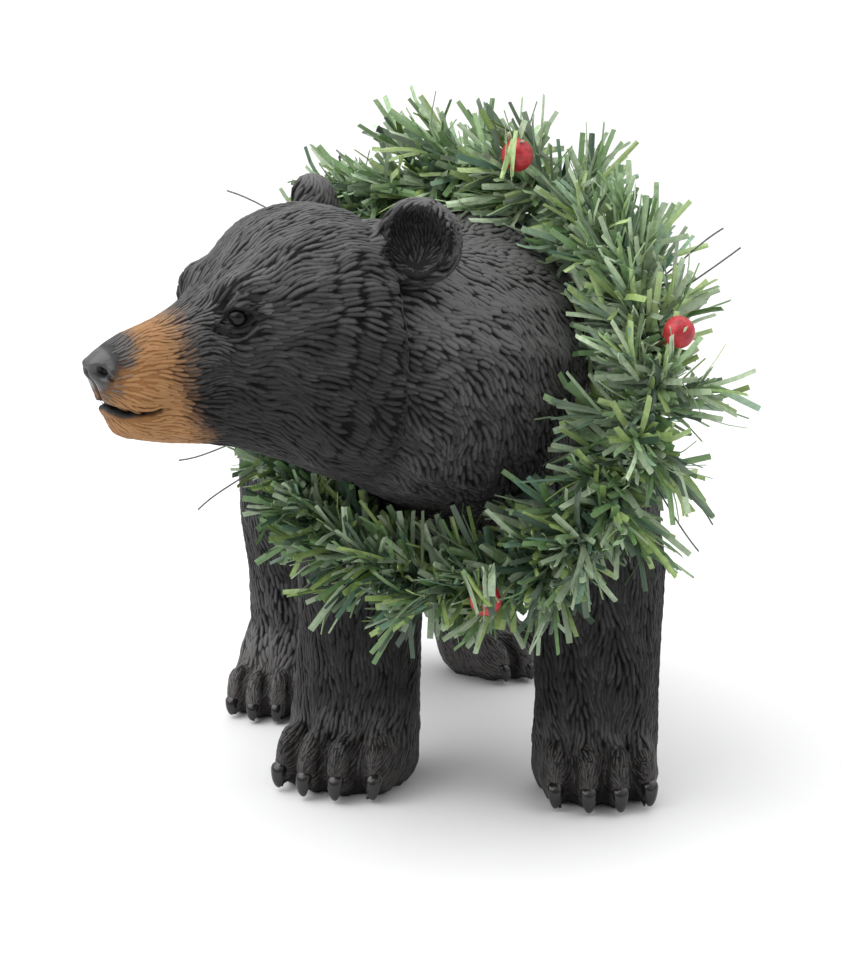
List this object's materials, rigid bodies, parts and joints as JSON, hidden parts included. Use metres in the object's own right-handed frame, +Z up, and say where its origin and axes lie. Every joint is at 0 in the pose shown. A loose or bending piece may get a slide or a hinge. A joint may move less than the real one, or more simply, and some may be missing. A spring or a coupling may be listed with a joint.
{
  "type": "bear figurine",
  "caption": "Cast black bear standing on four feet, head turned to its right, with a loose ring of plastic fir needles and red berries round its neck.",
  "frame": {"origin": "on the floor under the middle of the whole figurine's box", "axes": "+Z up, -Y the way the bear's chest faces, +X to the bear's left"},
  "size_m": [0.1582, 0.203, 0.1773],
  "materials": {
    "painted_resin": "cast resin painted charcoal black over carved fur, crests brushed lighter, tan muzzle, satin nose and claws",
    "fir_needles": "cut strips of soft green plastic film in several greens, satin",
    "red_berry": "red lacquer over foam, a little mottled, glossy"
  },
  "bodies": {
    "root": {"bear": "painted_resin", "wreath": "fir_needles", "berry_1": "red_berry", "berry_2": "red_berry", "berry_3": "red_berry", "berry_4": "red_berry", "berry_5": "red_berry", "berry_6": "red_berry"}
  },
  "joints": []
}
